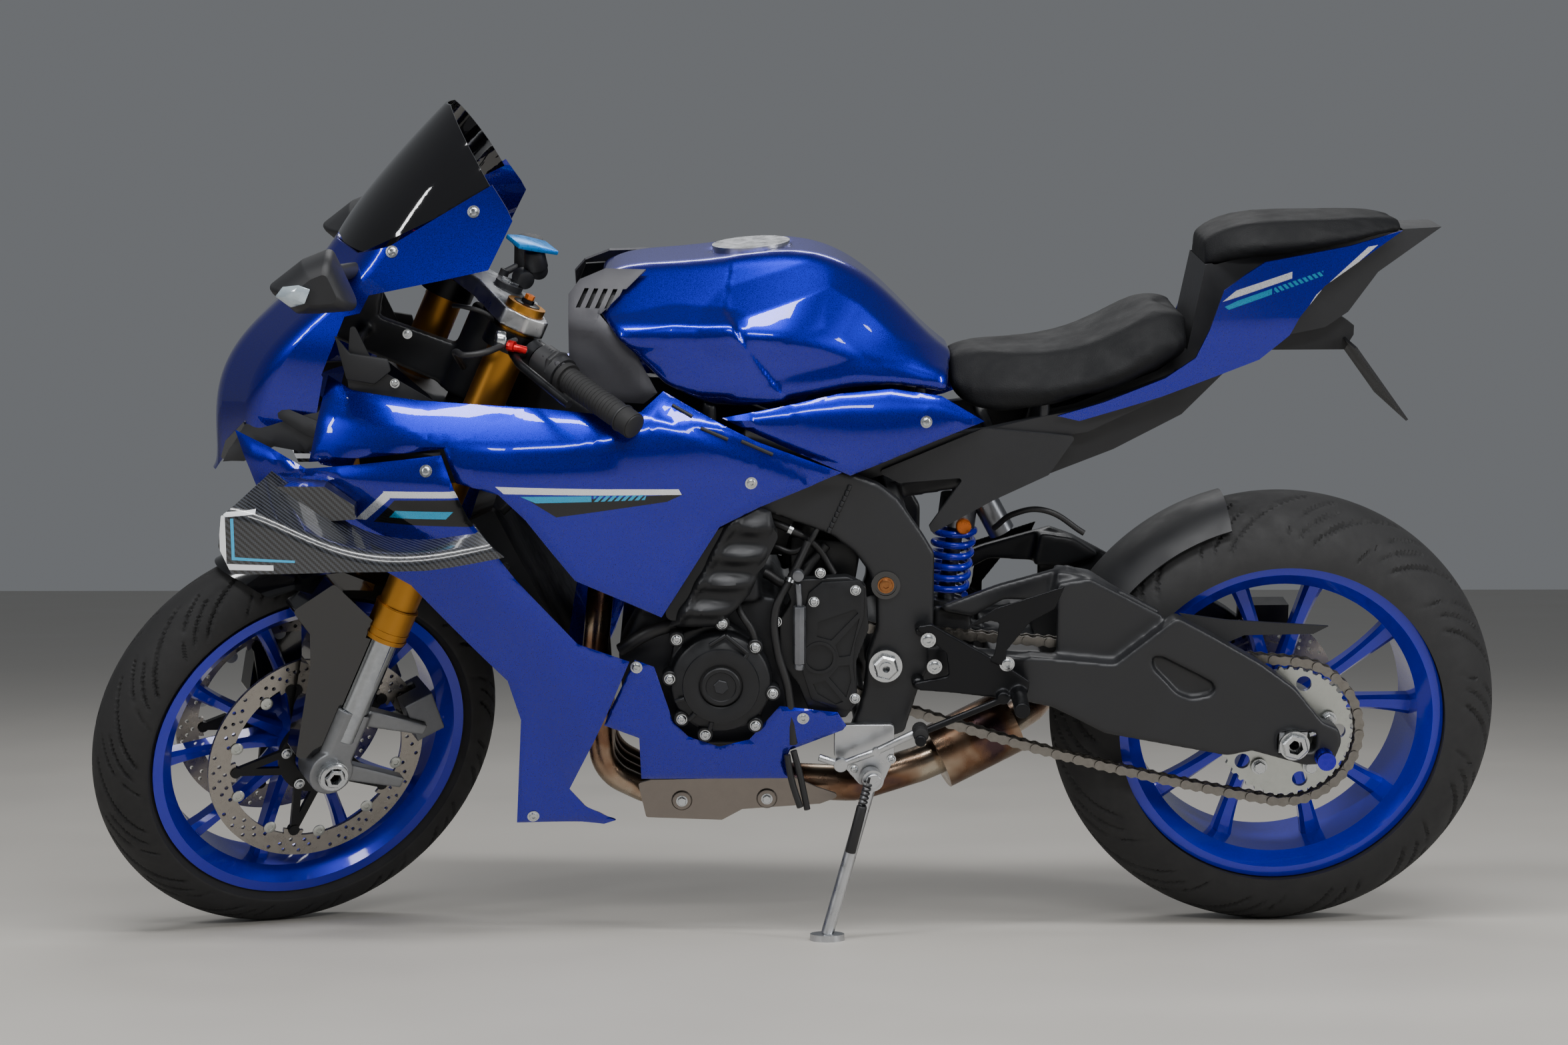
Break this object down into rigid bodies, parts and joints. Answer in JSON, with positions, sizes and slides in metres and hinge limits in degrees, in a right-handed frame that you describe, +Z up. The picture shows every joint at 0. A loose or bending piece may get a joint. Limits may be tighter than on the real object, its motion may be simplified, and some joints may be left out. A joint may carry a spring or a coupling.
{
  "type": "sport motorcycle",
  "caption": "Fully faired sport motorcycle parked on its side stand, with turning wheels, pivoting steering and a folding stand.",
  "frame": {"origin": "middle of the bounding box on the floor that both tyres and the side stand rest on", "axes": "+Z up, +X towards the tail, +Y to the rider's right; the bike leans 13.5 degrees to -Y"},
  "size_m": [1.9951, 0.7376, 1.1669],
  "materials": {
    "blue_paint": "metallic deep blue lacquer",
    "tank_blue": "metallic deep blue lacquer",
    "wheel_blue": "gloss blue enamel",
    "frame_black": "matt black powder coat",
    "engine_grey": "satin charcoal casting",
    "engine_black": "satin black casting",
    "black_plastic": "textured black moulding",
    "grey_plastic": "textured dark grey moulding",
    "screen_black": "dark tinted polycarbonate",
    "carbon_black": "lacquered carbon twill",
    "mirror_black": "satin black moulding",
    "lamp_clear": "clear lamp lens over dark housing",
    "fender_black": "gloss black moulding",
    "seat_black": "grained black seat vinyl",
    "grip_rubber": "ribbed black rubber",
    "tyre_rubber": "grooved black tread",
    "zinc_steel": "zinc-plated steel",
    "silver_aluminium": "satin machined aluminium",
    "black_aluminium": "black anodised aluminium",
    "chain_steel": "oiled chain steel",
    "sprocket_zinc": "pale zinc plate",
    "disc_steel": "ground stainless steel",
    "carrier_black": "black anodised aluminium",
    "fork_gold": "gold anodised aluminium",
    "fork_chrome": "hard chrome",
    "foot_grey": "grey hard-anodised casting",
    "shock_grey": "grey anodised aluminium",
    "spring_blue": "gloss blue spring steel",
    "exhaust_steel": "heat-browned titanium tube",
    "guard_steel": "brushed sheet with heat tint",
    "radiator_black": "matt black core",
    "stand_silver": "bright forged aluminium",
    "spool_blue": "blue-violet anodised aluminium"
  },
  "bodies": {
    "root": {"main_frame": "frame_black", "subframe": "frame_black", "engine_block": "engine_grey", "engine_covers": "engine_black", "head_side_cover": "black_plastic", "swingarm": "frame_black", "axle_shafts": "zinc_steel", "axle_blocks": "silver_aluminium", "paddock_spools": "spool_blue", "drive_chain": "chain_steel", "shock_absorber": "shock_grey", "shock_spring": "spring_blue", "exhaust": "exhaust_steel", "exhaust_guard": "guard_steel", "radiator": "radiator_black", "stand_bracket": "silver_aluminium", "upper_fairings": "blue_paint", "panel_stays": "zinc_steel", "lower_fairings": "blue_paint", "nose_cowl": "blue_paint", "windscreen": "screen_black", "fuel_tank": "tank_blue", "filler_cap": "silver_aluminium", "tank_side_panels": "blue_paint", "airbox_trim": "grey_plastic", "rider_seat": "seat_black", "pillion_seat": "seat_black", "tail_cowls": "blue_paint", "tail_undertray": "black_plastic", "plate_bracket": "black_plastic", "winglets": "carbon_black", "mirrors": "mirror_black", "headlamps": "lamp_clear", "cockpit": "black_plastic", "rear_guards": "black_plastic", "rearsets": "black_aluminium", "rear_caliper": "black_aluminium"},
    "steering": {"top_clamp": "silver_aluminium", "steering_stem": "frame_black", "fork_outers": "fork_gold", "fork_sliders": "fork_chrome", "fork_feet": "foot_grey", "front_calipers": "foot_grey", "front_fender": "fender_black", "front_axle": "zinc_steel", "clip_ons": "black_aluminium", "grips": "grip_rubber", "hand_levers": "black_aluminium", "bar_controls": "black_plastic"},
    "front_wheel": {"front_tyre": "tyre_rubber", "front_rim": "wheel_blue", "front_brake_discs": "disc_steel", "disc_carriers": "carrier_black"},
    "rear_wheel": {"rear_tyre": "tyre_rubber", "rear_rim": "wheel_blue", "rear_sprocket": "sprocket_zinc", "rear_brake_disc": "disc_steel"},
    "side_stand": {"side_stand": "stand_silver"}
  },
  "joints": [
    {"name": "steering_head", "type": "hinge", "parent": "root", "child": "steering", "pos_m": [-0.42716, -0.02122, 0.88373], "axis": [0.4006, -0.2139, 0.8909], "range_deg": [-60, 0]},
    {"name": "front_wheel_spin", "type": "hinge", "parent": "steering", "child": "front_wheel", "pos_m": [-0.72422, 0.10883, 0.28028], "axis": [-0.4581, 0.7953, 0.3969], "continuous": true},
    {"name": "rear_wheel_spin", "type": "hinge", "parent": "root", "child": "rear_wheel", "pos_m": [0.67707, 0.1155, 0.31427], "axis": [0, 0.9724, 0.2334], "continuous": true},
    {"name": "stand_fold", "type": "hinge", "parent": "root", "child": "side_stand", "pos_m": [0.08938, -0.0453, 0.22584], "axis": [0.1025, -0.9791, -0.1758], "range_deg": [0, 90]}
  ]
}
